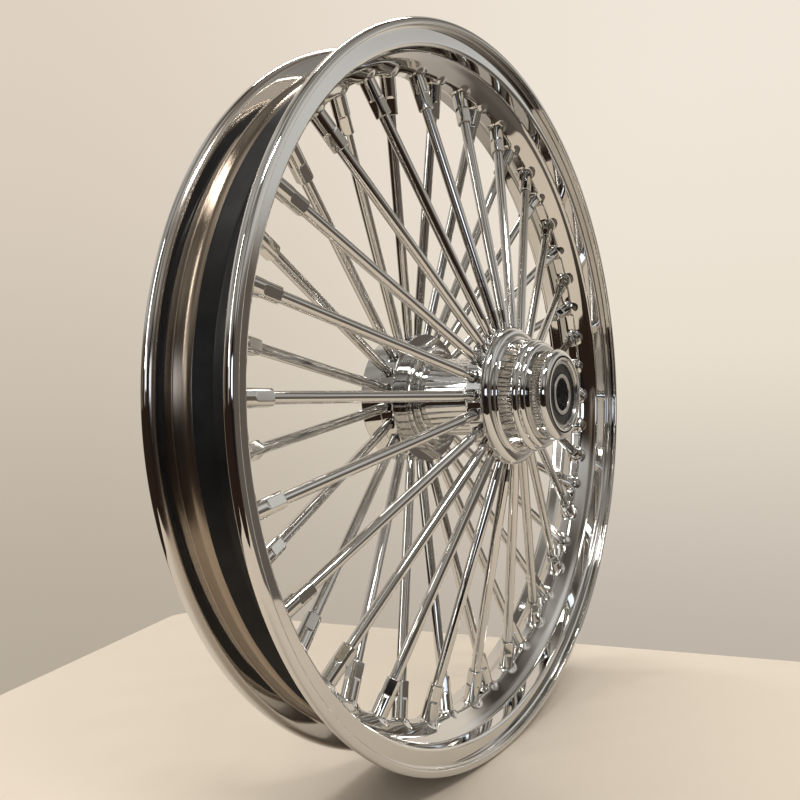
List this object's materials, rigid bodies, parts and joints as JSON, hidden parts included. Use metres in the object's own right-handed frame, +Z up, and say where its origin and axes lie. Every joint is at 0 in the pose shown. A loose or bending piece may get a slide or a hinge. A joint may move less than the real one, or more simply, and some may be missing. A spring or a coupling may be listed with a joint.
{
  "type": "spoked motorcycle wheel",
  "caption": "Chromed motorcycle front wheel: narrow drop-centre rim, thick straight spokes with flatted nipples, stepped hub and sealed bearings.",
  "frame": {"origin": "the wheel's centre: on the axle line, in the rim's centre plane", "axes": "+Y along the axle towards the brake-disc side (left), +Z up, the stepped hub cover faces -Y (right)"},
  "size_m": [0.563, 0.1675, 0.563],
  "materials": {
    "rim_chrome": "mirror-plated steel",
    "strip_rubber": "satin moulded rubber",
    "spoke_chrome": "mirror-plated steel",
    "nipple_chrome": "mirror-plated steel",
    "hub_chrome": "mirror-plated, turned",
    "cover_chrome": "mirror-plated, polished",
    "spacer_steel": "turned tube",
    "bearing_steel": "ground bearing steel",
    "ball_steel": "polished bearing steel",
    "cage_plastic": "moulded",
    "seal_rubber": "satin moulded rubber"
  },
  "bodies": {
    "axle_group": {"bearing_spacer": "spacer_steel", "right_bearing_inner_ring": "bearing_steel", "left_bearing_inner_ring": "bearing_steel"},
    "right_cage": {"right_bearing_cage": "cage_plastic", "right_bearing_balls": "ball_steel"},
    "left_cage": {"left_bearing_cage": "cage_plastic", "left_bearing_balls": "ball_steel"},
    "wheel": {"rim": "rim_chrome", "rim_strip": "strip_rubber", "right_spokes": "spoke_chrome", "left_spokes": "spoke_chrome", "right_nipples": "nipple_chrome", "left_nipples": "nipple_chrome", "hub_shell": "hub_chrome", "right_hub_cover": "cover_chrome", "left_disc_carrier": "cover_chrome", "right_bearing_outer_ring": "bearing_steel", "right_bearing_outer_seal": "seal_rubber", "right_bearing_inner_seal": "seal_rubber", "left_bearing_outer_ring": "bearing_steel", "left_bearing_outer_seal": "seal_rubber", "left_bearing_inner_seal": "seal_rubber"}
  },
  "joints": [
    {"name": "wheel_spin", "type": "hinge", "parent": "axle_group", "child": "wheel", "pos_m": [0, 0, 0], "axis": [0, 1, 0], "continuous": true},
    {"name": "right_cage_spin", "type": "hinge", "parent": "axle_group", "child": "right_cage", "pos_m": [0, -0.0805, 0], "axis": [0, 1, 0], "continuous": true},
    {"name": "left_cage_spin", "type": "hinge", "parent": "axle_group", "child": "left_cage", "pos_m": [0, 0.0695, 0], "axis": [0, 1, 0], "continuous": true}
  ],
  "couplings": [
    {"joint": "right_cage_spin", "follows": "wheel_spin", "ratio": 0.60312},
    {"joint": "left_cage_spin", "follows": "wheel_spin", "ratio": 0.60312}
  ]
}
